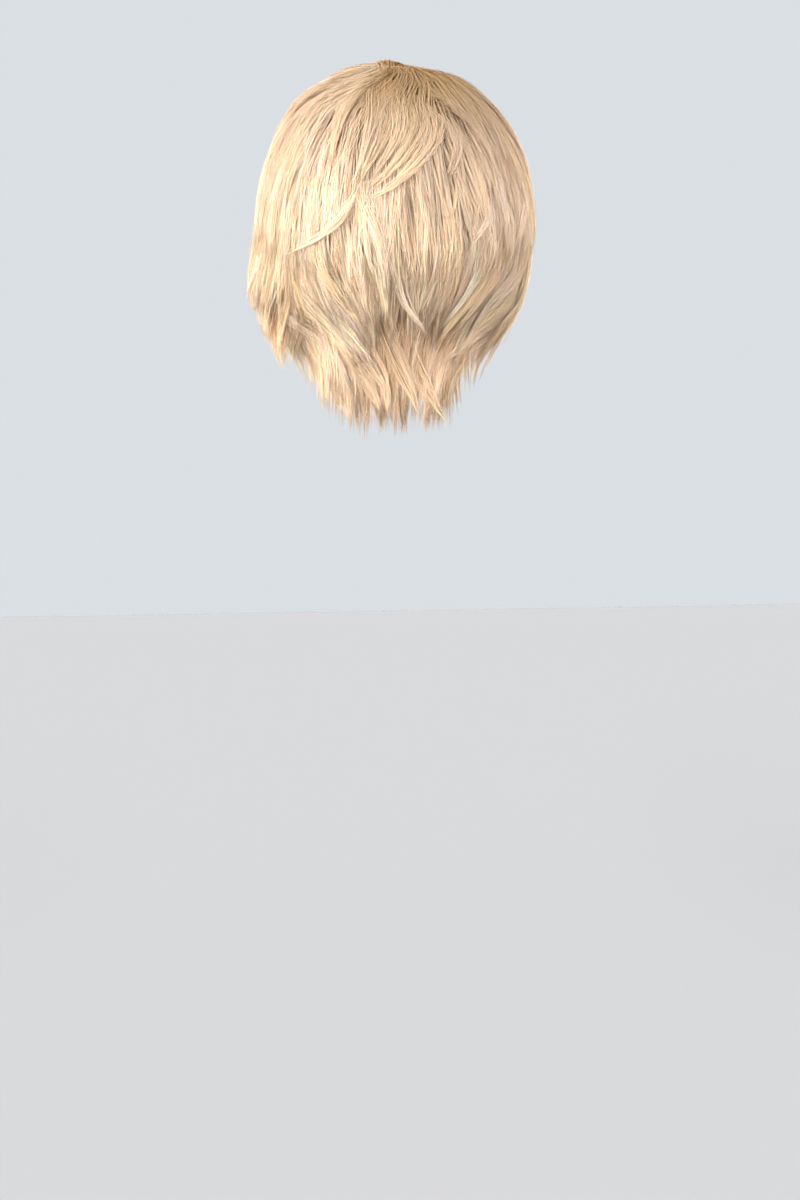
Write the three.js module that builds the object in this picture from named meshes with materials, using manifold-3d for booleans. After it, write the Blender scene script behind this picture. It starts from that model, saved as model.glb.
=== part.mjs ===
// Short layered wig: a stretch cap with six sections of hair sewn to it, each a band of locks.
// Millimetres, +Z up, the face towards -Y. The origin is the inside of the cap at the top of the head.

import * as THREE from "three";
import Module from "manifold-3d";

const wasm = await Module();
wasm.setup();

// Head form that the cap fits: an ellipsoid skull that runs into an upright oval neck.
const SKULL = { halfWidth: 75, halfLength: 94, halfHeight: 95 };
const NECK = { halfWidth: 50, halfLength: 58, leastSlope: 0.0037, fullBelow: 0.35, blend: 8 };
const CENTRE = new THREE.Vector3(0, 0, -SKULL.halfHeight);

// Whorl that all the hair spreads from, behind the top of the head.
const WHORL_TILT = 38;

// Cap wall, and its rim in degrees from the whorl: low behind the ears, high over the forehead.
const CAP = { wall: 1.6, turnSteps: 28, dropSteps: 8 };
const RIM = { level: 104.75, frontToBack: -4.5, earDip: -13.25 };

// Woven band that a section's locks are fused to, above the cap, and the gap between sections.
const BAND = { bottom: 2.3, rimMargin: 2, turnStep: 12, dropStep: 12, wholeRows: 4 };
const SECTION_GAP = 0.35;

// Lock: flat below and arched above, narrow at the root, full in the middle and pointed at the tip.
// Its thin edges reach out by edgeGrowth times the gap where it is grown.
const LOCK = {
  rings: [0, 0.3, 0.6, 0.85],
  rootLift: 3.6,
  rootShare: 0.45,
  fullAt: 0.45,
  taper: 3,
  turnBend: 1.5,
  edgeGrowth: 3.5,
};
const LOCK_SECTION = [
  { across: -1, rise: 0 },
  { across: -0.45, rise: 1 },
  { across: 0.45, rise: 1 },
  { across: 1, rise: 0 },
];

// Sections of the hair, outermost first. drop is degrees from the whorl, and turn is degrees round it,
// 0 at the middle of the back and positive towards the wearer's left. top is the height of the band,
// and a band without a last drop runs to the rim.
const SECTIONS = [
  { name: "hair_crown", fromTurn: -180, toTurn: 180, fromDrop: 0, toDrop: 42, top: 12.5 },
  { name: "hair_fringe", fromTurn: 129, toTurn: 231, fromDrop: 42.4, toDrop: Infinity, top: 4.8 },
  { name: "hair_side_left", fromTurn: 61, toTurn: 128.6, fromDrop: 42.4, toDrop: Infinity, top: 4.8 },
  { name: "hair_side_right", fromTurn: -128.6, toTurn: -61, fromDrop: 42.4, toDrop: Infinity, top: 4.8 },
  { name: "hair_back", fromTurn: -60.6, toTurn: 60.6, fromDrop: 42.4, toDrop: 66, top: 4.8 },
  { name: "hair_nape", fromTurn: -60.6, toTurn: 60.6, fromDrop: 66.4, toDrop: Infinity, top: 4.4 },
];

// Rows of locks. The tip's drop runs from the first lock to the last and varies by stagger, gather is
// the share of its turn that a lock loses on its way to the tip, sweep is the turn that it gains, lift
// is the height of its tip above the head, and a low bend rises to that height early.
const ROW_COLUMNS = [
  "section", "count", "fromTurn", "toTurn", "root", "fromTip", "toTip", "stagger",
  "gather", "sweep", "halfWidth", "thick", "lift", "bend",
];
const ROWS = [
  ["hair_crown", 9, -120, 120, 8, 56, 56, 10, 0, 8, 18, 6, 17, 0.6],
  ["hair_crown", 3, 150, 210, 8, 60, 60, 8, 0, 8, 18, 6, 12, 0.6],
  ["hair_crown", 13, -132, 132, 26, 80, 80, 12, 0.04, 5, 15, 6, 16, 0.6],
  ["hair_fringe", 7, 137, 223, 47, 116, 122, 6, 0, 14, 14, 5, 13, 0.8],
  ["hair_side_left", 5, 68, 122, 47, 118, 106, 8, 0, 0, 14, 5, 13, 0.8],
  ["hair_side_left", 4, 66, 97, 52, 126, 108, 6, 0, 0, 14, 9, 23, 1],
  ["hair_side_right", 5, -122, -68, 47, 106, 114, 8, 0, 0, 14, 5, 9, 0.8],
  ["hair_side_right", 4, -98, -66, 52, 110, 118, 6, 0.1, 0, 13, 6, 15, 0.7],
  ["hair_back", 7, -53, 53, 47, 94, 94, 10, 0.1, 4, 14, 5, 9.5, 0.8],
  ["hair_nape", 5, -56, -9, 70, 126, 117, 2, 0.1, 0, 13, 5, 8, 0.8],
  ["hair_nape", 5, 9, 56, 70, 117, 128, 2, 0.1, 0, 13, 5, 8, 0.8],
  ["hair_nape", 5, -26, 26, 84, 118, 118, 1.5, 0.1, 0, 12, 4, 4, 0.8],
];

// Share of the stagger that each next lock adds, so that no two neighbours end alike.
const GOLDEN_SHARE = 0.618;

const HAIR_FINISH = { color: 0xdcb77c, roughness: 0.45, metalness: 0 };
const CAP_FINISH = { color: 0xc9ab7c, roughness: 0.9, metalness: 0 };

const { degToRad, lerp, smoothstep } = THREE.MathUtils;

// Distance from the head form's centre to its surface along the unit direction d.
function headRadius(d) {
  const skull = 1 / Math.hypot(d.x / SKULL.halfWidth, d.y / SKULL.halfLength, d.z / SKULL.halfHeight);
  if (d.z >= 0) return skull;
  const slope = Math.hypot(d.x / NECK.halfWidth, d.y / NECK.halfLength);
  const neck = smoothstep(-d.z, 0, NECK.fullBelow) / Math.max(slope, NECK.leastSlope);
  return (skull ** NECK.blend + neck ** NECK.blend) ** (1 / NECK.blend);
}

// Unit direction at so many degrees from the whorl and round it.
function direction(drop, turn) {
  const tilt = degToRad(WHORL_TILT);
  const pole = new THREE.Vector3(0, Math.sin(tilt), Math.cos(tilt));
  const back = new THREE.Vector3(0, Math.cos(tilt), -Math.sin(tilt));
  const side = new THREE.Vector3(1, 0, 0);
  const away = back.multiplyScalar(Math.cos(degToRad(turn)));
  away.addScaledVector(side, Math.sin(degToRad(turn)));
  return pole.multiplyScalar(Math.cos(degToRad(drop))).addScaledVector(away, Math.sin(degToRad(drop)));
}

// Point at a height above the head form.
function above(d, lift) {
  return CENTRE.clone().addScaledVector(d, headRadius(d) + lift);
}

function rimDrop(turn) {
  const a = degToRad(turn);
  return RIM.level + RIM.frontToBack * Math.cos(a) + RIM.earDip * Math.cos(2 * a);
}

// Closed solid through a list of rings. A ring of one point is a pole, and a flat end is closed
// between the two halves of its ring.
function skin(rings) {
  const points = rings.flat();
  const starts = [];
  let count = 0;
  for (const ring of rings) {
    starts.push(count);
    count += ring.length;
  }
  const triangles = [];
  for (let r = 0; r + 1 < rings.length; r++) {
    const lower = rings[r].length;
    const upper = rings[r + 1].length;
    const sides = Math.max(lower, upper);
    for (let i = 0; i < sides; i++) {
      const j = (i + 1) % sides;
      const a = starts[r] + (i % lower);
      const b = starts[r] + (j % lower);
      const c = starts[r + 1] + (j % upper);
      const d = starts[r + 1] + (i % upper);
      if (lower > 1) triangles.push(a, b, c);
      if (upper > 1) triangles.push(a, c, d);
    }
  }
  const last = rings.length - 1;
  closeEnd(triangles, starts[0], rings[0].length, false);
  closeEnd(triangles, starts[last], rings[last].length, true);
  const vertProperties = new Float32Array(points.flatMap((p) => [p.x, p.y, p.z]));
  const triVerts = new Uint32Array(triangles);
  return new wasm.Manifold(new wasm.Mesh({ numProp: 3, vertProperties, triVerts }));
}

function closeEnd(triangles, start, length, isLast) {
  for (let i = 0; i + 1 < length / 2; i++) {
    const quad = [i, i + 1, length - 2 - i, length - 1 - i].map((k) => start + k);
    if (!isLast) quad.reverse();
    triangles.push(quad[0], quad[1], quad[2], quad[0], quad[2], quad[3]);
  }
}

// Ring of points right round the whorl, at a drop that may depend on the turn.
function roundRing(steps, dropAt, lift) {
  const turns = Array.from({ length: steps }, (_, i) => (360 * i) / steps);
  return turns.map((turn) => above(direction(dropAt(turn), turn), lift));
}

// Dome with an open mouth, from one height above the head form to another.
function dome(steps, rings, mouthAt, bottom, top) {
  const whorl = direction(0, 0);
  const shares = Array.from({ length: rings }, (_, i) => (i + 1) / rings);
  const wall = (lift) => shares.map((share) => roundRing(steps, (turn) => share * mouthAt(turn), lift));
  return skin([[above(whorl, top)], ...wall(top), ...wall(bottom).reverse(), [above(whorl, bottom)]]);
}

// Patch of band between two turns and two drops, kept inside the cap's rim.
function patch(section, gap) {
  const turnGap = (gap / SKULL.halfWidth) * (180 / Math.PI);
  const fromTurn = section.fromTurn - turnGap;
  const toTurn = section.toTurn + turnGap;
  const columns = Math.ceil((toTurn - fromTurn) / BAND.turnStep);
  const turns = Array.from({ length: columns + 1 }, (_, i) => lerp(fromTurn, toTurn, i / columns));
  const endDrop = (turn) => Math.min(section.toDrop, rimDrop(turn) - BAND.rimMargin) + turnGap;
  const fromDrop = section.fromDrop - turnGap;
  const rows = Math.ceil((Math.max(...turns.map(endDrop)) - fromDrop) / BAND.dropStep);
  const rings = Array.from({ length: rows + 1 }, (_, r) => {
    const at = (turn, lift) => above(direction(lerp(fromDrop, endDrop(turn), r / rows), turn), lift);
    const outer = turns.map((turn) => at(turn, section.top + gap));
    const inner = turns.map((turn) => at(turn, BAND.bottom - gap));
    return [...outer, ...inner.reverse()];
  });
  return skin(rings);
}

// Width and thickness of a lock at a share of its length, as a share of the full ones.
function swell(s) {
  const rise = Math.sin((Math.min(1, s / LOCK.fullAt) * Math.PI) / 2);
  return lerp(LOCK.rootShare, 1, rise) * Math.sqrt(1 - s ** LOCK.taper);
}

// One lock, grown on all sides by the gap.
function lock({ root, tip, turn, tipTurn, halfWidth, thick, lift, bend }, gap) {
  const heading = (s) => direction(lerp(root, tip, s), lerp(turn, tipTurn, s ** LOCK.turnBend));
  const height = (s) => lerp(LOCK.rootLift, lift, s ** bend);
  const rings = LOCK.rings.map((s) => {
    const middle = above(heading(s), height(s));
    const ahead = above(heading(1), height(1)).sub(middle);
    const across = ahead.cross(heading(s)).normalize();
    return LOCK_SECTION.map((corner) => {
      const reach = corner.across * (halfWidth * swell(s) + LOCK.edgeGrowth * gap);
      const d = middle.clone().addScaledVector(across, reach).sub(CENTRE).normalize();
      return above(d, height(s) + (corner.rise > 0 ? thick * swell(s) + gap : -gap));
    });
  });
  return skin([...rings, [above(heading(1), height(1))]]);
}

function locksOf(section) {
  const rows = ROWS.map((row) => Object.fromEntries(row.map((value, i) => [ROW_COLUMNS[i], value])));
  return rows.filter((row) => row.section === section.name).flatMap((row) =>
    Array.from({ length: row.count }, (_, i) => {
      const along = i / (row.count - 1);
      const turn = lerp(row.fromTurn, row.toTurn, along);
      const tipTurn = turn * (1 - row.gather) + row.sweep;
      const tip = lerp(row.fromTip, row.toTip, along) + row.stagger * ((i * GOLDEN_SHARE) % 1);
      return { ...row, turn, tipTurn, tip };
    }),
  );
}

function sectionSolid(section, gap) {
  const isWhole = section.toTurn - section.fromTurn >= 360;
  const band = isWhole
    ? dome(CAP.turnSteps, BAND.wholeRows, () => section.toDrop, BAND.bottom, section.top + gap)
    : patch(section, gap);
  return locksOf(section).reduce((whole, row) => whole.add(lock(row, gap)), band);
}

function largestBody(solid) {
  return solid.decompose().reduce((best, body) => (body.volume() > best.volume() ? body : best));
}

function meshOf(name, solid, finish) {
  const { vertProperties, triVerts } = solid.getMesh();
  const geometry = new THREE.BufferGeometry();
  geometry.setAttribute("position", new THREE.BufferAttribute(new Float32Array(vertProperties), 3));
  geometry.setIndex(new THREE.BufferAttribute(new Uint32Array(triVerts), 1));
  geometry.computeVertexNormals();
  const mesh = new THREE.Mesh(geometry, new THREE.MeshStandardMaterial(finish));
  mesh.name = name;
  return mesh;
}

const wig = new THREE.Group();
wig.add(meshOf("wig_cap", dome(CAP.turnSteps, CAP.dropSteps, rimDrop, 0, CAP.wall), CAP_FINISH));

// Each section is cut clear of the cap and of the sections that lie over it.
const over = [dome(CAP.turnSteps, CAP.dropSteps, rimDrop, -SECTION_GAP, CAP.wall + SECTION_GAP)];
for (const section of SECTIONS) {
  const whole = over.reduce((rest, grown) => rest.subtract(grown), sectionSolid(section, 0));
  wig.add(meshOf(section.name, largestBody(whole), HAIR_FINISH));
  over.push(sectionSolid(section, SECTION_GAP));
}

export default wig;
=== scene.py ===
import math

import bpy
import numpy as np
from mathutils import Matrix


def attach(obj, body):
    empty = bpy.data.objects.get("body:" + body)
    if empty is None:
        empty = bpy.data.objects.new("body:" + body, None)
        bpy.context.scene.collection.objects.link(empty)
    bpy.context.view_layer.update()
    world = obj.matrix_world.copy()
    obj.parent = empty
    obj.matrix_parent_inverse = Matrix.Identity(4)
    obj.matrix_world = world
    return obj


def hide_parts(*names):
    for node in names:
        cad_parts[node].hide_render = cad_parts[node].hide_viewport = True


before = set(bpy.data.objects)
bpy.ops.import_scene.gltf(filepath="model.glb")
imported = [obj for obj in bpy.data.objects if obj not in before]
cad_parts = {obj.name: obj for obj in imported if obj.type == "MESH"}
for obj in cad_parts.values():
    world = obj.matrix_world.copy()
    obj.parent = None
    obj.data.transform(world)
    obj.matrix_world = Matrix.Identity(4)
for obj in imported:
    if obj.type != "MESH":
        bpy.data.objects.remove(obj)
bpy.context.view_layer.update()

# Camera behind the wearer, level and lower than the wig, so that it looks up at the back of the crown.
# It leans by a degree, as the picture does.
CAMERA_PLACE = (0, 0.645, -0.341)
CAMERA_LEAN = math.radians(0.94)
SENSOR_WIDTH = 36
FOCAL_LENGTH = 28.2
bpy.ops.object.camera_add(
    location=CAMERA_PLACE,
    rotation=(math.radians(90), CAMERA_LEAN, math.radians(180)),
)
camera = bpy.context.object
camera.name = "camera"
camera.data.sensor_width = SENSOR_WIDTH
camera.data.lens = FOCAL_LENGTH
bpy.context.scene.camera = camera


# Pale floor well below the wig, under a wide soft light from the wearer's left, weaker ones from the
# right and the front and a bright overcast sky.
FLOOR_SIZE = 60
FLOOR_HEIGHT = -0.67
FLOOR_GREY = (0.20, 0.202, 0.205, 1)
FLOOR_ROUGHNESS = 0.7
LIGHT_SPREAD = math.radians(90)
LIGHTS = (  # name, place, strength and colour
    ("window_light", (1.70, 0.85, 0.10), 23.5, (1.0, 0.98, 0.96)),
    ("fill_light", (-1.65, 0.70, 0.05), 11.0, (0.99, 0.98, 1.0)),
    ("front_light", (-0.30, -1.60, 0.20), 7.0, (1.0, 0.99, 0.98)),
)
SKY_COLOUR = (0.80, 0.84, 0.88, 1)
SKY_STRENGTH = 0.88


def plain_material(name):
    material = bpy.data.materials.new(name)
    material.use_nodes = True
    return material, material.node_tree.nodes, material.node_tree.links


bpy.ops.object.select_all(action="DESELECT")
bpy.ops.mesh.primitive_plane_add(size=FLOOR_SIZE, location=(0, 0, FLOOR_HEIGHT))
floor = bpy.context.object
floor.name = "floor"
floor_paint, nodes, links = plain_material("floor_paint")
paint = nodes["Principled BSDF"]
paint.inputs["Base Color"].default_value = FLOOR_GREY
paint.inputs["Roughness"].default_value = FLOOR_ROUGHNESS
paint.inputs["Specular IOR Level"].default_value = 0
floor.data.materials.append(floor_paint)

for name, place, strength, colour in LIGHTS:
    bpy.ops.object.light_add(type="SUN", location=place)
    light = bpy.context.object
    light.name = name
    light.data.angle = LIGHT_SPREAD
    light.data.energy = strength
    light.data.color = colour
    away = math.hypot(place[0], place[1])
    light.rotation_euler = (math.atan2(away, place[2]), 0, math.atan2(place[0], -place[1]))

world = bpy.data.worlds.new("overcast_sky")
world.use_nodes = True
sky = world.node_tree.nodes["Background"]
sky.inputs["Color"].default_value = SKY_COLOUR
sky.inputs["Strength"].default_value = SKY_STRENGTH
bpy.context.scene.world = world
bpy.context.scene.view_settings.view_transform = "Standard"


# Cap of stretch net that the hair is sewn to. It fits close over the head, low behind the ears and high
# over the forehead, with rows of machine-sewn wefts round it and an elastic hem at its rim.
MM = 0.001
SKULL = np.array([75, 94, 95])  # half the width, depth and height that the cap fits
NECK = np.array([50, 58])  # half the width and depth below it
NECK_FADE = 0.35
NECK_LIMIT = 0.0037
NECK_BLEND = 8
CENTRE = np.array([0, 0, -95])
WHORL_TILT = math.radians(38)
POLE = np.array([0, math.sin(WHORL_TILT), math.cos(WHORL_TILT)])
BACKWARD = np.array([0, math.cos(WHORL_TILT), -math.sin(WHORL_TILT)])
LEFTWARD = np.array([1, 0, 0])
RIM_BACK, RIM_SIDE, RIM_FRONT = 87, 118, 96  # degrees from the whorl
CAP_WALL = 1.6
CAP_SEGMENTS, CAP_RINGS = 96, 80
JUST_BELOW_EQUATOR = -0.01
WEFT_SPACING = 6.5  # degrees


def smooth(low, high, value):
    share = np.clip((value - low) / (high - low), 0, 1)
    return share * share * (3 - 2 * share)


def heading(drop, turn):
    """Unit direction so many degrees from the whorl and round it, 0 at the back and + to the left."""
    drop, turn = np.radians(drop)[..., None], np.radians(turn)[..., None]
    return POLE * np.cos(drop) + (BACKWARD * np.cos(turn) + LEFTWARD * np.sin(turn)) * np.sin(drop)


def head_radius(way):
    skull = 1 / np.sqrt(((way / SKULL) ** 2).sum(-1))
    slope = np.sqrt(((way[..., :2] / NECK) ** 2).sum(-1))
    neck = smooth(0, NECK_FADE, -way[..., 2]) / np.maximum(slope, NECK_LIMIT)
    return (skull**NECK_BLEND + neck**NECK_BLEND) ** (1 / NECK_BLEND)


def above_head(way, lift):
    return CENTRE + way * (head_radius(way) + lift)[..., None]


def rim_drop(turn):
    turn = np.radians(turn)
    ends = (RIM_BACK + RIM_FRONT) / 2
    along = (RIM_BACK - RIM_FRONT) / 2 * np.cos(turn)
    return (ends + RIM_SIDE) / 2 + along + (ends - RIM_SIDE) / 2 * np.cos(2 * turn)


bpy.ops.object.select_all(action="DESELECT")
bpy.ops.mesh.primitive_uv_sphere_add(segments=CAP_SEGMENTS, ring_count=CAP_RINGS, radius=1)
wig_cap = bpy.context.object
wig_cap.name = "wig_cap_net"
bpy.ops.object.mode_set(mode="EDIT")
bpy.ops.mesh.select_all(action="DESELECT")
bpy.ops.object.mode_set(mode="OBJECT")
for vertex in wig_cap.data.vertices:
    vertex.select = vertex.co.z < JUST_BELOW_EQUATOR
bpy.ops.object.mode_set(mode="EDIT")
bpy.ops.mesh.delete(type="VERT")
bpy.ops.object.mode_set(mode="OBJECT")
ball = np.array([v.co for v in wig_cap.data.vertices])
ball_turn = np.degrees(np.arctan2(ball[:, 0], ball[:, 1]))
ball_drop = np.degrees(np.arccos(np.clip(ball[:, 2], -1, 1))) / 90 * rim_drop(ball_turn)
net = above_head(heading(ball_drop, ball_turn), np.zeros(len(ball))) * MM
wig_cap.data.vertices.foreach_set("co", net.ravel())
for name, values in (
    ("rim_share", ball_drop / rim_drop(ball_turn)),
    ("row_place", ball_drop / WEFT_SPACING),
):
    mark = wig_cap.data.attributes.new(name, "FLOAT", "POINT")
    mark.data.foreach_set("value", values.astype(np.float32))
bpy.ops.object.mode_set(mode="EDIT")
bpy.ops.mesh.select_all(action="SELECT")
bpy.ops.mesh.normals_make_consistent(inside=False)
bpy.ops.object.mode_set(mode="OBJECT")
wall = wig_cap.modifiers.new("wall", "SOLIDIFY")
wall.thickness = CAP_WALL * MM
wall.offset = 1
bpy.ops.object.modifier_apply(modifier="wall")
bpy.ops.object.shade_smooth()

NET_HOLES_A_METRE = 620
NET_HOLE = (0.30, 0.20, 0.10, 1)
NET_THREAD = (0.62, 0.46, 0.28, 1)
NET_THREAD_STARTS = 0.55
WEFT_THREAD = (0.70, 0.52, 0.30, 1)
WEFT_EDGES = (0.36, 0.46)  # share of the way between two rows
HEM_TAPE = (0.60, 0.44, 0.27, 1)
HEM_EDGES = (0.925, 0.935)  # share of the way from the whorl to the rim
NET_ROUGHNESS = 0.9
WEFT_RELIEF = 2.0
KNIT_RELIEF = 0.0006
KNIT_STRENGTH = 0.6
cap_net, nodes, links = plain_material("cap_net")


def marked(name):
    node = nodes.new("ShaderNodeAttribute")
    node.attribute_name = name
    return node.outputs["Fac"]


def soft_step(value, edges):
    """A share that rises softly from 0 to 1 between two edges."""
    step = nodes.new("ShaderNodeMapRange")
    step.interpolation_type = "SMOOTHSTEP"
    step.inputs["From Min"].default_value, step.inputs["From Max"].default_value = edges
    links.new(value, step.inputs["Value"])
    return step.outputs["Result"]


def laid_over(base, share, colour):
    """The base colour with another colour over a share of it."""
    mix = nodes.new("ShaderNodeMix")
    mix.data_type = "RGBA"
    mix.inputs["B"].default_value = colour
    links.new(share, mix.inputs["Factor"])
    links.new(base, mix.inputs["A"])
    return mix.outputs["Result"]


knit_fibre = nodes["Principled BSDF"]
knit_fibre.inputs["Roughness"].default_value = NET_ROUGHNESS
place = nodes.new("ShaderNodeTexCoord")
mesh_holes = nodes.new("ShaderNodeTexVoronoi")
mesh_holes.inputs["Scale"].default_value = NET_HOLES_A_METRE
links.new(place.outputs["Object"], mesh_holes.inputs["Vector"])
row_wave = nodes.new("ShaderNodeMath")
row_wave.operation = "PINGPONG"
row_wave.inputs[1].default_value = 0.5
links.new(marked("row_place"), row_wave.inputs[0])
weft = soft_step(row_wave.outputs["Value"], WEFT_EDGES)
hem = soft_step(marked("rim_share"), HEM_EDGES)
net_tone = nodes.new("ShaderNodeValToRGB")
net_tone.color_ramp.elements[0].color = NET_HOLE
net_tone.color_ramp.elements[0].position = 0.0
net_tone.color_ramp.elements[1].color = NET_THREAD
net_tone.color_ramp.elements[1].position = NET_THREAD_STARTS
links.new(mesh_holes.outputs["Distance"], net_tone.inputs["Fac"])
weft_tone = laid_over(net_tone.outputs["Color"], weft, WEFT_THREAD)
links.new(laid_over(weft_tone, hem, HEM_TAPE), knit_fibre.inputs["Base Color"])
relief = nodes.new("ShaderNodeMath")
relief.operation = "MULTIPLY_ADD"
relief.inputs[1].default_value = WEFT_RELIEF
links.new(weft, relief.inputs[0])
links.new(mesh_holes.outputs["Distance"], relief.inputs[2])
knit = nodes.new("ShaderNodeBump")
knit.inputs["Strength"].default_value = KNIT_STRENGTH
knit.inputs["Distance"].default_value = KNIT_RELIEF
links.new(relief.outputs["Value"], knit.inputs["Height"])
links.new(knit.outputs["Normal"], knit_fibre.inputs["Normal"])
wig_cap.data.materials.append(cap_net)
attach(wig_cap, "root")
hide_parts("wig_cap")


# Nape hair, the lowest layer. Straight synthetic fibre sewn to the cap in wefts lies down over the neck
# in tapered locks that gather in from both sides and end in thin points. Places in the hair are given
# as (drop, turn) in degrees, as in heading above, and depths under its outside in millimetres.
PARTINGS = (  # from one place to another, depth, and half width in degrees
    ((3, -140), (30, -171), 6.0, 3.5),
    ((8, -120), (28, -140), 5.5, 4.0),
    ((8, -100), (15, -22), 1.5, 2.2),
    ((15, -20), (26, -23), 3.0, 1.8),
    ((26, -23), (36, -29), 4.5, 1.6),
    ((36, -29), (48, -40), 5.0, 1.5),
    ((43, 35), (54, 30), 2.0, 1.5),
    ((56, 42), (70, 34), 2.5, 1.5),
    ((60, 10.5), (68, 14), 4.0, 1.2),
    ((68, 14), (86, 19), 5.0, 2.0),
    ((59, -6), (74, -5), 4.0, 2.0),
    ((61, -14), (73, -14), 3.0, 2.0),
    ((52, -31), (71, -25), 3.0, 2.0),
    ((58, -55), (68, -47), 3.5, 2.0),
    ((104, -3), (115, -8), 3.0, 1.5),
    ((110, -17), (116, -10), 3.0, 1.5),
)


def parted(drop, turn):
    """Depth of the partings between locks."""
    dip = np.zeros(np.broadcast(drop, turn).shape)
    for (drop_a, turn_a), (drop_b, turn_b), deep, wide in PARTINGS:
        squeeze = math.sin(math.radians((drop_a + drop_b) / 2))
        down, round_head = drop_b - drop_a, (turn_b - turn_a) * squeeze
        share = ((drop - drop_a) * down + (turn - turn_a) * squeeze * round_head) / (down**2 + round_head**2)
        share = np.clip(share, 0, 1)
        away = np.hypot(drop - drop_a - share * down, (turn - turn_a) * squeeze - share * round_head)
        dip = np.maximum(dip, deep * np.exp(-((away / wide) ** 2)))
    return dip


WHORL_LIFT = 14.5
DOME_LIFT = 6.5
RIGHT_LIFT = 2.0
NAPE_FALL = 13.5
FLARE_LIFT, FLARE_FACE_LIFT = 12.0, 1.0
RIGHT_TUCK = 4.0
FRONT_FALL = 5.0
RIPPLE = 0.9


def hair_lift(drop, turn, hang):
    """Height of the outside of the hair above the head: full at the crown and close at the nape. Where
    hang is 1 the left side hangs straight down and stands off, and where it is 0 it lies on the neck."""
    far = np.abs((turn + 180) % 360 - 180)
    hanging = hang * (turn > 0)
    behind = smooth(62, 32, far) * (1 - hanging) + hanging * smooth(50, 22, far)
    flare = hang * (FLARE_LIFT + FLARE_FACE_LIFT * smooth(80, 92, turn))
    flare = flare * smooth(30, 54, turn) * smooth(125, 96, turn)
    lift = WHORL_LIFT + DOME_LIFT * smooth(10, 42, drop)
    lift = lift + RIGHT_LIFT * smooth(30, 60, drop) * smooth(-50, -80, turn)
    lift = lift - NAPE_FALL * smooth(72, 112, drop) * behind + flare * smooth(80, 106, drop)
    lift = lift - RIGHT_TUCK * smooth(102, 124, drop) * smooth(-45, -70, turn) * smooth(140, 110, far)
    lift = lift - FRONT_FALL * smooth(25, 70, drop) * smooth(105, 145, far) - parted(drop, turn)
    wander = 0.19 * turn + 1.4 * np.sin(0.06 * drop)
    return lift + RIPPLE * np.sin(wander) * np.sin(0.10 * drop + 0.04 * turn)


NAPE_EDGE = np.array([  # across and height of the lower outline, in millimetres
    (-75, -165), (-67, -175), (-56, -190), (-47, -206), (-43, -216), (-41, -226), (-36, -235), (-17, -243),
    (24, -243), (36, -235), (45, -226), (51, -216), (58, -206), (65, -188), (75, -184), (77, -260),
]).T
EDGE = np.array([  # turn, and the drop that hair reaches there
    (-180, 118), (-150, 118), (-125, 113), (-100, 112), (-85, 115), (-70, 121), (-60, 126), (-50, 130),
    (30, 130), (40, 124), (46, 117), (52, 112), (58, 108), (70, 107), (80, 109), (92, 111), (110, 110),
    (125, 112), (150, 118), (180, 118),
]).T
GUIDE_STEPS = 17
GUIDE_PLACES = np.linspace(0, 1, GUIDE_STEPS)
MEASURED_AT = 0.7  # share of the hair's height
LEFT_DRAW = 0.85


def gathered(drop, turn, hang):
    """How far hair that starts at a turn has moved sideways at a drop: in over the nape from both sides."""
    left = hang * smooth(48, 22, turn) + (1 - hang) * smooth(84, 52, turn)
    share = smooth(105, 62, -turn) * (turn < 0) + left * (turn >= 0)
    return -turn * share * (LEFT_DRAW * smooth(74, 121, drop) if hang else smooth(88, 124, drop))


def evenly(paths, hang, short=0.0):
    """The same paths with their places at equal lengths along them, cut off at the edge of the nape."""
    drop, turn = paths[..., 0], paths[..., 1]
    points = above_head(heading(drop, turn), MEASURED_AT * hair_lift(drop, turn, hang))
    length = np.linalg.norm(np.diff(points, axis=1), axis=-1).cumsum(axis=1)
    spare = points[..., 2] - np.interp(points[..., 0], *NAPE_EDGE) - np.reshape(short, (-1, 1))
    for path, far, room in zip(paths, length, spare):
        far = np.concatenate([[0], far])
        over = np.flatnonzero(room < 0)
        end = far[-1]
        if len(over) and over[0]:
            last = over[0] - 1
            end = far[last] + (far[over[0]] - far[last]) * room[last] / (room[last] - room[over[0]])
        places = GUIDE_PLACES * end
        path[:] = np.stack([np.interp(places, far, path[:, 0]), np.interp(places, far, path[:, 1])], axis=-1)
    return paths


SCATTER = (0.7548776662, 0.5698402910)  # steps that spread roots evenly over a patch
WISPS_IN_LOCK = 5
OWN_REACH, LOCK_REACH = 0.45, 0.55
OWN_PULL, LOCK_PULL = 0.3, 0.7
OWN_SINK, LOCK_SINK = 0.5, 1.8
OWN_CURL = 0.25
LEAST_GIRTH = 0.5  # share of the head's girth, so that a lock curls no more near the whorl
OWN_SHORT, LOCK_SHORT = 5, 20
LOWEST_SPREAD = 14
EDGE_SPREAD = 4
SWIRL_ENDS = 34


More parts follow.
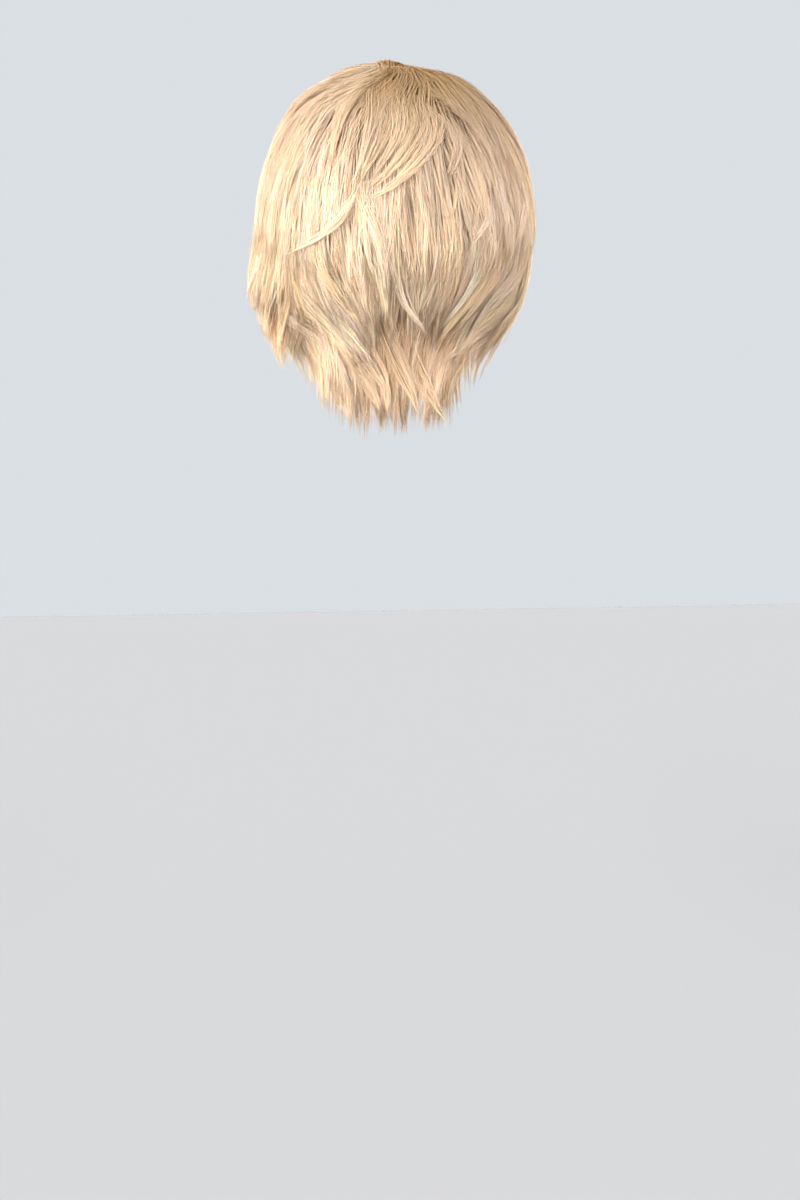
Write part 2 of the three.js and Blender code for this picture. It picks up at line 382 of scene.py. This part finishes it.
def sow(chance, count, drops, turns, length, hang=1, lowest=180, edge=EDGE, bend=3.0, sweep=0.0,
        swirl=0.0, gather=0.6, least_pull=0.4):
    """Paths of wisps rooted evenly over a patch of the cap, as (drop, turn) at GUIDE_STEPS places, and
    how deep each lies. Neighbours run together into locks."""
    number = np.arange(count)
    start = chance.random(2)
    even = (start[0] + number * SCATTER[0]) % 1, (start[1] + number * SCATTER[1]) % 1
    low, high = np.cos(np.radians(drops))
    root_drop = np.degrees(np.arccos(low + (high - low) * even[0]))
    root_turn = turns[0] + (turns[1] - turns[0]) * even[1]
    reach = root_drop + length[0] + (length[1] - length[0]) * chance.random(count)
    reach = np.minimum(reach, lowest - LOWEST_SPREAD * chance.random(count))
    pull = least_pull + (1 - least_pull) * chance.random(count)

    leader = chance.choice(count, count // WISPS_IN_LOCK, replace=False)
    spread = np.sin(np.radians(root_drop)) * (root_turn - root_turn[leader][:, None])
    lock = np.hypot(root_drop - root_drop[leader][:, None], spread).argmin(axis=0)
    lead = leader[lock]
    reach = OWN_REACH * reach + LOCK_REACH * reach[lead]
    pull = OWN_PULL * pull + LOCK_PULL * pull[lead]
    draw = gather * (root_turn[lead] - root_turn)
    sink = LOCK_SINK * gather * chance.random(len(leader))[lock] + OWN_SINK * chance.random(count)
    drawn = gathered(reach, root_turn, hang) - gathered(root_drop, root_turn, hang)
    tip_turn = root_turn + pull * drawn + sweep + draw
    end = np.interp((tip_turn + 180) % 360 - 180, *edge)
    reach = np.minimum(reach, end - EDGE_SPREAD * chance.random(count) ** 2)

    place = GUIDE_PLACES[None, :]
    drop = root_drop[:, None] + (reach - root_drop)[:, None] * place
    drawn = gathered(drop, root_turn[:, None], hang) - gathered(root_drop, root_turn, hang)[:, None]
    turn = root_turn[:, None] + pull[:, None] * drawn
    curl = OWN_CURL * chance.normal(0, bend, count) + chance.normal(0, bend, len(leader))[lock]
    curl = curl[:, None] / np.maximum(np.sin(np.radians(drop)), LEAST_GIRTH)
    turn = turn + sweep * place**1.5 + (draw[:, None] + curl) * place**2
    turn = turn + swirl * (smooth(0, SWIRL_ENDS, drop) - smooth(0, SWIRL_ENDS, root_drop)[:, None])
    short = LOCK_SHORT * chance.random(len(leader))[lock] ** 1.5 + OWN_SHORT * chance.random(count)
    return evenly(np.stack([drop, turn], axis=-1), hang, short), sink


def lock_paths(*locks, hang=1):
    """Paths of locks given by a few (drop, turn) points each, as smooth paths at GUIDE_STEPS places."""
    paths = []
    for points in locks:
        points = np.array(points, float)
        knots = np.linspace(0, 1, len(points))
        slopes = np.gradient(points, knots, axis=0)
        span = np.minimum((GUIDE_PLACES * (len(points) - 1)).astype(int), len(points) - 2)
        gap = 1 / (len(points) - 1)
        t = ((GUIDE_PLACES - knots[span]) / gap)[:, None]
        paths.append(
            points[span] * (2 * t**3 - 3 * t**2 + 1) + slopes[span] * gap * (t**3 - 2 * t**2 + t)
            + points[span + 1] * (3 * t**2 - 2 * t**3) + slopes[span + 1] * gap * (t**3 - t**2)
        )
    return evenly(np.array(paths), hang), np.zeros(len(paths))


BLONDE = np.array([0.965, 0.83, 0.665])
# Ash of the roots: partly the wig's darker dyed roots, partly painted shade over the nape under the upper
# layers and round the whorl.
ASH_ROOT_AND_PAINTED_SHADE = np.array([0.44, 0.285, 0.128])
# Painted warm shade: fibres lying deeper in the hair turn more golden, standing in for light bounced between
# fibres in the gaps.
PAINTED_WARM_SHADE = np.array([1.04, 0.99, 0.94])
PAINTED_WARM_SHADE_DEPTHS = (1.2, 4.5)
WARMING = np.array([0.1, -0.3, -1.4])
DYE_UNEVEN = 0.03
FIBRES_IN_CLUMP = 7
ROOT_AND_SHADE_TONE = 0.5
DYE_LIMITS = (0.02, 0.97)


def per_fibre(values, fibres):
    """Values of the wisps, given to each of their fibres."""
    return np.repeat(values, fibres)[:, None]


def dyed(chance, wisps, fibres, drop, depth, smoothed_and_lit, length, dark_length):
    """Colour of each fibre along it: ash at the roots, partly dyed and partly painted shade, more round the
    whorl and less on the lit left, with a painted warm shade deep in the hair.
    """
    count = wisps * fibres
    clump = (np.arange(count) // FIBRES_IN_CLUMP)[:, None]
    clumps = clump[-1, 0] + 1
    shade = 1 + chance.normal(0, DYE_UNEVEN, clumps)[clump] + chance.normal(0, DYE_UNEVEN, (count, 1))
    shade = shade + per_fibre(chance.normal(0, DYE_UNEVEN, wisps), fibres)
    warmth = chance.normal(0, DYE_UNEVEN, clumps)[clump]
    warmth = warmth + per_fibre(chance.normal(0, DYE_UNEVEN, wisps), fibres)
    colour = BLONDE * shade[..., None] * (1 + warmth[..., None] * WARMING)
    # Dyed roots near each root, with painted shade where dark_length runs long and round the whorl, eased on
    # the lit left.
    root_and_shade = np.maximum(ROOT_AND_SHADE_TONE * (1 - smooth(2, dark_length, length)), smoothed_and_lit * smooth(72, 12, drop))
    colour = colour + (ASH_ROOT_AND_PAINTED_SHADE * shade[..., None] - colour) * root_and_shade[..., None]
    return np.clip(colour * PAINTED_WARM_SHADE ** smooth(*PAINTED_WARM_SHADE_DEPTHS, depth)[..., None], *DYE_LIMITS)


FIBRE_WIDTH = 0.52
LEAST_WIDTH, MORE_WIDTH = 0.7, 0.6  # shares of it
FIBRE_RIDGE = 0.28  # share of half the width
TIP_TAPER = 0.6


def drawn_out(chance, spine, way, colour, ring_places):
    """Mesh arrays of closed fibres along their spines: flat, three-sided and pointed at the tip."""
    count, rings = spine.shape[:2]
    ahead = np.gradient(spine, axis=1)
    ahead /= np.linalg.norm(ahead, axis=-1, keepdims=True)
    flank = np.cross(ahead, way)
    flank /= np.linalg.norm(flank, axis=-1, keepdims=True)
    outward = np.cross(flank, ahead)
    half = FIBRE_WIDTH / 2 * (LEAST_WIDTH + MORE_WIDTH * chance.random((count, 1)))
    half = (half * (1 - TIP_TAPER * ring_places**2))[..., None]
    corners = [spine + flank * half, spine + outward * half * FIBRE_RIDGE, spine - flank * half]
    around = np.stack(corners, axis=2)[:, :-1]
    points = np.concatenate([around.reshape(count, -1, 3), spine[:, -1:]], axis=1)
    shades = np.concatenate([np.repeat(colour[:, :-1], 3, axis=1), colour[:, -1:]], axis=1)

    tip = 3 * (rings - 1)
    triangles = [(0, 2, 1)]
    for first in range(0, tip - 3, 3):
        for corner in range(3):
            a, b = first + corner, first + (corner + 1) % 3
            triangles += [(a, b, b + 3), (a, b + 3, a + 3)]
    triangles += [(tip - 3 + corner, tip - 3 + (corner + 1) % 3, tip) for corner in range(3)]
    faces = np.array(triangles)[None] + (np.arange(count) * (tip + 1))[:, None, None]
    return points.reshape(-1, 3), shades.reshape(-1, 3), faces.reshape(-1, 3)


SPREAD_AT = 0.6  # share of the hair's height
ROOT_SPREAD = 0.14  # share of a wisp's length over which its fibres start
ROOT_WIDTH = 0.6  # share of a wisp's width
WISP_WAVE, FIBRE_WAVE = 1.3, 0.3
LEAST_WISP_WAVES, MORE_WISP_WAVES = 0.5, 0.6
LEAST_FIBRE_WAVES, MORE_FIBRE_WAVES = 0.8, 0.8
STRAY_SHARE, STRAY_WAVE, STRAY_RISE = 0.05, 3.0, 0.35
# Share by which the left lies more evenly and, as painted light, carries less painted shade round the whorl.
LEFT_SMOOTHING_AND_LIGHT = 0.5
LEAST_LIFT = 2.6
ROOT_LIFT = 2.2
WHORL_ROOT_LIFT = 11.8
RISE, STANDING_RISE = 0.9, 9
STANDING_RING = 0.03


def grow(chance, lines, fibres, width, thick, depths, feather=0.4, rings=6, hang=1, point=0.82,
         stand=False, dark_length=30):
    """Mesh arrays of fibres that follow each path in a wisp of a half width and thickness. They run from
    one depth at the root to another at the tip, and end unevenly over a feathered share of it."""
    paths, sink = lines
    wisps = len(paths)
    count = wisps * fibres
    ring_places = np.linspace(0, 1, rings)
    if stand:
        ring_places = np.concatenate([[0], np.linspace(STANDING_RING, 1, rings - 1)])

    place = ROOT_SPREAD * chance.random((count, 1)) ** 2
    reach = 1 - feather * chance.random((count, 1)) ** 1.6
    along = place + (reach - place) * ring_places
    spot = along * (GUIDE_STEPS - 1)
    step = np.minimum(spot.astype(int), GUIDE_STEPS - 2)
    share = (spot - step)[..., None]
    line = np.repeat(paths, fibres, axis=0)
    each = np.arange(count)[:, None]
    guide = line[each, step] * (1 - share) + line[each, step + 1] * share
    drop, turn = guide[..., 0], guide[..., 1]
    middle = heading(drop, turn)
    path = above_head(middle, SPREAD_AT * hair_lift(drop, turn, hang))
    across = np.cross(np.gradient(path, axis=1), middle)
    across /= np.linalg.norm(across, axis=-1, keepdims=True)

    angle = 2 * math.pi * chance.random((count, 1))
    ring = np.sqrt(chance.random((count, 1)))
    spread = ROOT_WIDTH + (1 - ROOT_WIDTH) * smooth(0, 0.3, along)
    spread = spread * (1 - point * smooth(0.4, 1.0, along))
    wisp_start = per_fibre(chance.random(wisps), fibres)
    wisp_waves = LEAST_WISP_WAVES + MORE_WISP_WAVES * per_fibre(chance.random(wisps), fibres)
    start = chance.random((count, 1))
    waves = LEAST_FIBRE_WAVES + MORE_FIBRE_WAVES * chance.random((count, 1))
    stray = STRAY_WAVE * (chance.random((count, 1)) > 1 - STRAY_SHARE)
    wave = WISP_WAVE * np.sin(2 * math.pi * (wisp_start + along * wisp_waves))
    wave = wave + FIBRE_WAVE * (1 + stray) * np.sin(2 * math.pi * (start + along * waves))
    offset = width * ring * np.cos(angle) * spread + along * wave
    way = path + across * offset[..., None] - CENTRE
    way /= np.linalg.norm(way, axis=-1, keepdims=True)

    here_drop = np.degrees(np.arccos(np.clip(way @ POLE, -1, 1)))
    here_turn = np.degrees(np.arctan2(way @ LEFTWARD, way @ BACKWARD))
    on_left = smooth(8, 40, here_turn) * smooth(150, 110, here_turn)
    # Over the left the depths lie more evenly, and the painted shade round the whorl is eased where the light
    # falls.
    smoothed_and_lit = 1 - LEFT_SMOOTHING_AND_LIGHT * on_left * smooth(100, 80, here_drop)
    uneven = per_fibre(sink, fibres) * smooth(4, 40, here_drop) + thick * ring * np.sin(angle) * spread
    depth = depths[0] + (depths[1] - depths[0]) * along + smoothed_and_lit * uneven - STRAY_RISE * stray * along
    most = np.maximum(hair_lift(here_drop, here_turn, hang) - depth, LEAST_LIFT)
    length = np.linalg.norm(np.diff(path, axis=1), axis=-1).cumsum(axis=1)
    length = np.concatenate([np.zeros((count, 1)), length], axis=1)
    if stand:
        climb = ROOT_LIFT + STANDING_RISE * length
    else:
        climb = ROOT_LIFT + WHORL_ROOT_LIFT * smooth(26, 4, here_drop[:, :1]) + RISE * length
    spine = above_head(way, most * np.tanh(climb / most))

    colour = dyed(chance, wisps, fibres, here_drop, depth, smoothed_and_lit, length, dark_length)
    return drawn_out(chance, spine, way, colour, ring_places)


def weave(name, *bunches):
    """One mesh of several bunches of fibres, with their colours."""
    points = np.concatenate([bunch[0] for bunch in bunches])
    shades = np.concatenate([bunch[1] for bunch in bunches])
    shades = np.concatenate([shades, np.ones((len(shades), 1))], axis=1)
    before = np.cumsum([0] + [len(bunch[0]) for bunch in bunches])
    faces = np.concatenate([bunch[2] + start for bunch, start in zip(bunches, before)])
    mesh = bpy.data.meshes.new(name)
    mesh.vertices.add(len(points))
    mesh.vertices.foreach_set("co", (points * MM).astype(np.float32).ravel())
    mesh.loops.add(faces.size)
    mesh.loops.foreach_set("vertex_index", faces.astype(np.int32).ravel())
    mesh.polygons.add(len(faces))
    mesh.polygons.foreach_set("loop_start", np.arange(0, faces.size, 3, dtype=np.int32))
    mesh.update(calc_edges=True)
    dye = mesh.color_attributes.new("fibre_colour", "FLOAT_COLOR", "POINT")
    dye.data.foreach_set("color", shades.astype(np.float32).ravel())
    piece = bpy.data.objects.new(name, mesh)
    bpy.context.scene.collection.objects.link(piece)
    return piece


FIBRE_SHEEN = 0.18
FIBRE_ROUGHNESS = (0.40, 0.55)
GRAIN_RANGE = (0.3, 0.7)
GRAINS_A_METRE = 700
GRAIN_DETAIL = 2
CRIMP_STRENGTH = 0.15
CRIMP_RELIEF = 0.0001
LIGHT_THROUGH = 0.64
blonde_fibre, nodes, links = plain_material("blonde_fibre")
fibre = nodes["Principled BSDF"]
fibre.inputs["Specular IOR Level"].default_value = FIBRE_SHEEN
dye = nodes.new("ShaderNodeVertexColor")
dye.layer_name = "fibre_colour"
links.new(dye.outputs["Color"], fibre.inputs["Base Color"])
place = nodes.new("ShaderNodeTexCoord")
grain = nodes.new("ShaderNodeTexNoise")
grain.inputs["Scale"].default_value = GRAINS_A_METRE
grain.inputs["Detail"].default_value = GRAIN_DETAIL
links.new(place.outputs["Object"], grain.inputs["Vector"])
gloss = nodes.new("ShaderNodeMapRange")
gloss.inputs["From Min"].default_value, gloss.inputs["From Max"].default_value = GRAIN_RANGE
gloss.inputs["To Min"].default_value, gloss.inputs["To Max"].default_value = FIBRE_ROUGHNESS
links.new(grain.outputs["Fac"], gloss.inputs["Value"])
links.new(gloss.outputs["Result"], fibre.inputs["Roughness"])
crimp = nodes.new("ShaderNodeBump")
crimp.inputs["Strength"].default_value = CRIMP_STRENGTH
crimp.inputs["Distance"].default_value = CRIMP_RELIEF
links.new(grain.outputs["Fac"], crimp.inputs["Height"])
links.new(crimp.outputs["Normal"], fibre.inputs["Normal"])
glow = nodes.new("ShaderNodeBsdfTranslucent")
links.new(dye.outputs["Color"], glow.inputs["Color"])
through = nodes.new("ShaderNodeMixShader")
through.inputs["Fac"].default_value = LIGHT_THROUGH
links.new(fibre.outputs["BSDF"], through.inputs[1])
links.new(glow.outputs["BSDF"], through.inputs[2])
links.new(through.outputs["Shader"], nodes["Material Output"].inputs["Surface"])


def dress(piece, node):
    piece.data.materials.append(blonde_fibre)
    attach(piece, "root")
    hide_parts(node)


NAPE_TIPS = np.array([(-180, 130), (180, 130)]).T  # turn, and the drop that hair reaches there
ON_NECK = dict(edge=NAPE_TIPS, least_pull=0.65)
chance = np.random.default_rng(3)
nape_wisps = sow(chance, 248, drops=(66, 98), turns=(-61, 61), length=(30, 60), hang=0, **ON_NECK)
left_neck_wisps = sow(chance, 62, drops=(84, 106), turns=(24, 74), length=(30, 60), hang=0, **ON_NECK)
bridge_wisps = sow(chance, 52, drops=(80, 98), turns=(36, 68), length=(30, 50), hang=0.5, **ON_NECK)
right_neck_wisps = sow(chance, 62, drops=(84, 106), turns=(-74, -24), length=(30, 60), hang=0, **ON_NECK)
nape_locks = lock_paths(
    ((76, 43), (90, 39), (100, 34), (106, 23), (110, 14), (113, 10)),
    ((98, 56), (110, 50), (118, 40), (121, 24), (119, 14), (119, 8)),
    ((96, 62), (110, 58), (120, 50), (125, 40), (126, 30)),
    ((94, 60), (108, 54), (118, 44), (123, 32), (122, 20)),
    ((92, 34), (105, 27), (111, 18), (113, 9), (116, 5), (118, 3)),
    ((88, 16), (100, 12), (108, 10), (113, 4), (116, 3), (118, 2)),
    ((90, 8), (103, 3), (110, -1), (116, -5), (119, -7)),
    ((92, 2), (105, -3), (112, -7), (117, -11), (122, -15)),
    ((82, -60), (95, -58), (109, -47), (112, -30), (111, -19), (112, -13)),
    ((96, -60), (110, -58), (118, -50), (118, -30), (117, -20), (120, -15)),
    ((100, -48), (114, -42), (121, -36), (123, -31), (125, -27)),
    ((100, -64), (112, -59), (120, -52), (126, -44), (129, -38)),
    ((98, -58), (110, -53), (118, -46), (124, -38), (128, -32)),
    ((102, -54), (113, -48), (120, -41), (125, -34), (128, -28)),
    hang=0,
)
NECK_WISP = dict(fibres=14, width=4.5, thick=1.2, depths=(5, 2.0), feather=0.3, hang=0)
# The long dark roots of the nape wisps, nape locks and right neck wisps are painted shade under the layers
# above, beside the dyed roots.
hair_nape = weave(
    "hair_nape_fibres",
    grow(chance, nape_wisps, fibres=14, width=4.5, thick=1.0, depths=(7, 2.0), feather=0.3, hang=0,
         dark_length=190),
    grow(chance, left_neck_wisps, **NECK_WISP, dark_length=40),
    grow(chance, bridge_wisps, fibres=14, width=5, thick=2.4, depths=(4, 1.0), feather=0.3, hang=0.5),
    grow(chance, right_neck_wisps, **NECK_WISP, dark_length=110),
    grow(chance, nape_locks, fibres=56, width=6, thick=1.2, depths=(5, 0.4), rings=8, hang=0, dark_length=90),
)
dress(hair_nape, "hair_nape")


# Middle layer of the back: wefts of the same fibre sewn across the back of the cap. Its locks hang over
# the nape and taper to points at different heights, and some sweep in from the left.
chance = np.random.default_rng(4)
back_wisps = sow(chance, 288, drops=(42, 66), turns=(-61, 61), length=(38, 64), lowest=117)
back_locks = lock_paths(
    ((56, 12), (62, 10), (66, 6), (72, 4), (80, 3), (91, 3)),
    ((46, -34), (53, -31), (60, -24), (68, -20)),
    ((49, -45), (56, -39), (64, -33), (71, -26)),
    ((52, 8), (70, 5), (81, 4), (92, 3), (100, 4)),
    ((52, 18), (70, 14), (81, 11), (93, 9), (100, 8)),
    ((60, 4), (75, 1), (83, -1), (92, -3), (98, -7), (104, -11)),
    ((60, -34), (78, -31), (89, -27), (99, -19), (103, -15)),
    ((62, -47), (80, -44), (91, -40), (99, -30), (104, -22), (106, -17)),
)
top_locks = lock_paths(
    ((40, 17), (48, 14), (56, 12), (62, 10), (68, 6), (76, 4), (84, 3), (93, 3)),
    ((46, 22), (54, 20), (62, 19), (70, 16), (80, 14), (90, 13)),
    ((55, 34), (63, 30), (71, 26), (80, 24), (90, 19), (97, 13)),
    ((28, -34), (36, -33), (43, -30), (51, -27), (58, -19)),
    ((50, -52), (58, -47), (65, -40), (72, -31), (79, -23)),
    ((52, -84), (60, -80), (67, -72), (74, -58), (84, -43)),
    ((46, -8), (54, -10), (61, -11), (68, -10), (78, -8), (88, -9)),
)
sweeping_locks = lock_paths(
    ((66, 46), (76, 42), (86, 37), (97, 28), (106, 17), (111, 7)),
    ((70, 52), (82, 48), (92, 42), (102, 32), (109, 20), (114, 10)),
    ((74, 56), (86, 52), (97, 46), (107, 35), (113, 22), (117, 12)),
    ((58, 48), (66, 44), (76, 31), (87, 21), (97, 14), (105, 9)),
    ((62, 30), (71, 27), (80, 24), (90, 19), (97, 13)),
    ((72, 48), (84, 43), (95, 35), (104, 24), (110, 13)),
    ((74, 34), (84, 27), (91, 23), (97, 18), (103, 13), (108, 9)),
    ((80, 46), (90, 36), (98, 27), (104, 18), (109, 10), (112, 5)),
)
layer_lock = lock_paths(((76, -52), (84, -43), (91, -33), (98, -24), (104, -18), (109, -13)))
hair_back = weave(
    "hair_back_fibres",
    grow(chance, back_wisps, fibres=14, width=4.5, thick=0.8, depths=(6, 1.4)),
    grow(chance, back_locks, fibres=42, width=4.5, thick=1.2, depths=(6, 0.2), feather=0.35, rings=8),
    grow(chance, sweeping_locks, fibres=60, width=8, thick=1.2, depths=(7, 0.4), rings=8),
    grow(chance, top_locks, fibres=28, width=5, thick=0.9, depths=(2.0, 0.8), feather=0.5, rings=8),
    grow(chance, layer_lock, fibres=56, width=6, thick=1.2, depths=(6, 0.3), rings=8),
)
dress(hair_back, "hair_back")


# Right side: wefts over the ear, combed close and smooth. Longer locks at its lower edge curl in towards
# the nape, and short wisps under it cover the hem of the cap.
chance = np.random.default_rng(5)
right_wisps = sow(chance, 312, drops=(42, 94), turns=(-129, -60), length=(34, 58))
ear_edge = np.array([(-150, 114), (-135, 120), (-120, 126), (-100, 130), (-80, 127)]).T
right_ear_wisps = sow(
    chance, 54, drops=(84, 102), turns=(-146, -80), length=(38, 50), edge=ear_edge, gather=0.2
)
edge_locks = lock_paths(
    ((70, -92), (84, -86), (96, -76), (108, -62), (118, -46)),
    ((76, -98), (90, -90), (102, -78), (113, -62), (122, -44)),
    ((64, -86), (80, -80), (94, -70), (106, -56), (115, -40)),
    ((80, -84), (94, -76), (106, -63), (116, -48), (122, -34)),
    ((82, -104), (95, -97), (106, -86), (116, -70), (123, -54)),
)
layer_locks = lock_paths(
    ((80, -78), (88, -68), (93, -54), (99, -43), (105, -34), (110, -26)),
    ((90, -78), (101, -61), (105, -47), (109, -37), (113, -26), (116, -19)),
)
SIDE_WISP = dict(fibres=14, width=4.5, thick=1.0, depths=(7, 1.2))
EAR_WISP = dict(fibres=10, width=6, thick=1.2, feather=0.25, point=0.5)
EDGE_LOCK = dict(fibres=56, width=7, thick=1.2, depths=(6, 0.4), rings=8)
hair_side_right = weave(
    "hair_side_right_fibres",
    grow(chance, right_wisps, **SIDE_WISP),
    grow(chance, edge_locks, **EDGE_LOCK),
    grow(chance, right_ear_wisps, **EAR_WISP, depths=(15, 12)),
    grow(chance, layer_locks, **EDGE_LOCK),
)
dress(hair_side_right, "hair_side_right")


# Left side: the same wefts brushed outwards, so that the locks stand off beside the face in three steps
# of points. Locks under the steps join them to the nape, and short wisps cover the hem of the cap.
chance = np.random.default_rng(6)
STEP_EDGES = (  # turn, and the drop that each step reaches there
    np.array([(46, 101.5), (58, 105), (70, 110), (92, 115)]).T,
    np.array([(44, 109), (52, 112.5), (58, 117), (72, 122)]).T,
    np.array([(36, 108), (40, 113.5), (46, 120.5), (52, 124.5), (60, 128)]).T,
)
left_wisps = sow(chance, 318, drops=(42, 94), turns=(60, 129), length=(34, 58))
ear_edge = np.array([(80, 127), (100, 130), (120, 126), (135, 120), (150, 114)]).T
left_ear_wisps = sow(
    chance, 54, drops=(84, 102), turns=(80, 146), length=(38, 50), edge=ear_edge, gather=0.2
)
COMBED = dict(bend=1, gather=0.2)
upper_step = sow(
    chance, 40, drops=(60, 84), turns=(38, 80), length=(40, 60), edge=STEP_EDGES[0], sweep=12, **COMBED
)
middle_step = sow(
    chance, 30, drops=(70, 90), turns=(34, 62), length=(40, 60), edge=STEP_EDGES[1], sweep=10, **COMBED
)
lower_step = sow(
    chance, 34, drops=(76, 94), turns=(28, 52), length=(45, 60), edge=STEP_EDGES[2], sweep=11, **COMBED
)
step_points = lock_paths(
    ((62, 52), (76, 56), (90, 62), (99, 67), (106, 71)),
    ((70, 44), (84, 46), (96, 49), (106, 52), (112, 54.5)),
    ((78, 36), (92, 40), (104, 44), (114, 48), (121, 51)),
)
under_locks = lock_paths(
    ((88, 48), (97, 42), (106, 39), (114, 36), (118, 30), (119, 22)),
    ((84, 56), (92, 48), (100, 45), (108, 44), (115, 41), (119, 36)),
    hang=0.5,
)
STEP_WISP = dict(fibres=14, width=5.5, thick=1.0, feather=0.25, point=0.5)
hair_side_left = weave(
    "hair_side_left_fibres",
    grow(chance, left_wisps, **SIDE_WISP),
    grow(chance, upper_step, **STEP_WISP, depths=(7, 0.4)),
    grow(chance, middle_step, **STEP_WISP, depths=(8, 2.0)),
    grow(chance, lower_step, **STEP_WISP, depths=(9, 2.6)),
    grow(chance, step_points, fibres=26, width=4, thick=1.2, depths=(6, 0.6), feather=0.5, rings=8),
    grow(chance, left_ear_wisps, **EAR_WISP, depths=(17, 20)),
    grow(chance, under_locks, fibres=56, width=6, thick=1.2, depths=(5, 0.6), rings=8, hang=0.5),
)
dress(hair_side_left, "hair_side_left")


# Fringe: the front hair, wefts brushed forward and a little to one side over the forehead. Wisps under it
# cover the hem of the cap at the brow.
chance = np.random.default_rng(7)
fringe_wisps = sow(chance, 230, drops=(42, 100), turns=(129, 231), length=(34, 60), sweep=10)
brow_edge = np.array([(-180, 108), (-150, 113), (-120, 122), (120, 122), (150, 113), (180, 108)]).T
brow_wisps = sow(chance, 44, drops=(80, 96), turns=(126, 234), length=(34, 46), edge=brow_edge, gather=0.2)
hair_fringe = weave(
    "hair_fringe_fibres",
    grow(chance, fringe_wisps, fibres=12, width=4.5, thick=1.0, depths=(7, 1.2)),
    grow(chance, brow_wisps, fibres=12, width=6, thick=1.2, depths=(12, 9), feather=0.25, point=0.5),
)
dress(hair_fringe, "hair_fringe")


# Crown: the top hair, sewn in a spiral of wefts, which spreads from the whorl all round the head and
# covers the roots of every other layer. Its locks end at many heights, and one crosses the back.
chance = np.random.default_rng(8)
ALL_ROUND = (-180, 180)
crown_wisps = sow(
    chance, 372, drops=(0, 42), turns=ALL_ROUND, length=(58, 80), lowest=97, bend=4.5, swirl=40, gather=0.3
)
whorl_wisps = sow(
    chance, 58, drops=(0.3, 9), turns=ALL_ROUND, length=(52, 74), lowest=90, bend=2, swirl=40, gather=0.1
)
cowlick = lock_paths(*[((-6, turn), (6, turn), (20, turn), (36, turn)) for turn in range(-70, 80, 28)])
crown_locks = lock_paths(
    ((10, -5), (22, -15), (33, -21), (41, -21), (48, -13), (55, -3), (60, 6), (62, 12)),
    ((12, 0), (22, -5), (34, -14), (42, -10), (50, -2), (56, 5), (61, 12)),
    ((10, 6), (22, 4), (34, -4), (44, -2), (52, 5), (58, 10)),
    ((16, -10), (27, -17), (34, -26), (42, -30), (48, -28), (54, -21), (58, -17)),
    ((6, -20), (13, -24), (26, -28), (35, -40), (43, -46), (53, -45), (63, -43)),
    ((8, 9), (20, 8), (33, 2), (44, 4), (53, 9), (60, 13)),
    ((8, 12), (18, 13), (33, 8), (45, 10), (54, 13), (62, 15)),
    ((8, 20), (20, 27), (30, 29), (37, 27), (45, 26), (55, 23)),
    ((5, -40), (22, -80), (35, -88), (50, -86), (65, -80), (79, -74)),
)
crossing_lock = lock_paths(((34, 8), (44, 9), (53, 10), (60, 12), (68, 18), (75, 30), (82, 42)))
hair_crown = weave(
    "hair_crown_fibres",
    grow(chance, crown_wisps, fibres=14, width=6, thick=0.6, depths=(2.5, 1.0)),
    grow(chance, whorl_wisps, fibres=16, width=7, thick=0.8, depths=(1.5, 1.2), feather=0.5, rings=7,
         stand=True),
    grow(chance, cowlick, fibres=16, width=5, thick=0.6, depths=(3.5, 2.6), feather=0.5, rings=7),
    # The long dark roots of the crown locks are painted shade over the top of the crown.
    grow(chance, crown_locks, fibres=44, width=6, thick=0.6, depths=(2.5, 0.7), feather=0.45, rings=8,
         dark_length=80),
    grow(chance, crossing_lock, fibres=26, width=4, thick=0.8, depths=(1.2, 0.3), feather=0.6, rings=8),
)
dress(hair_crown, "hair_crown")
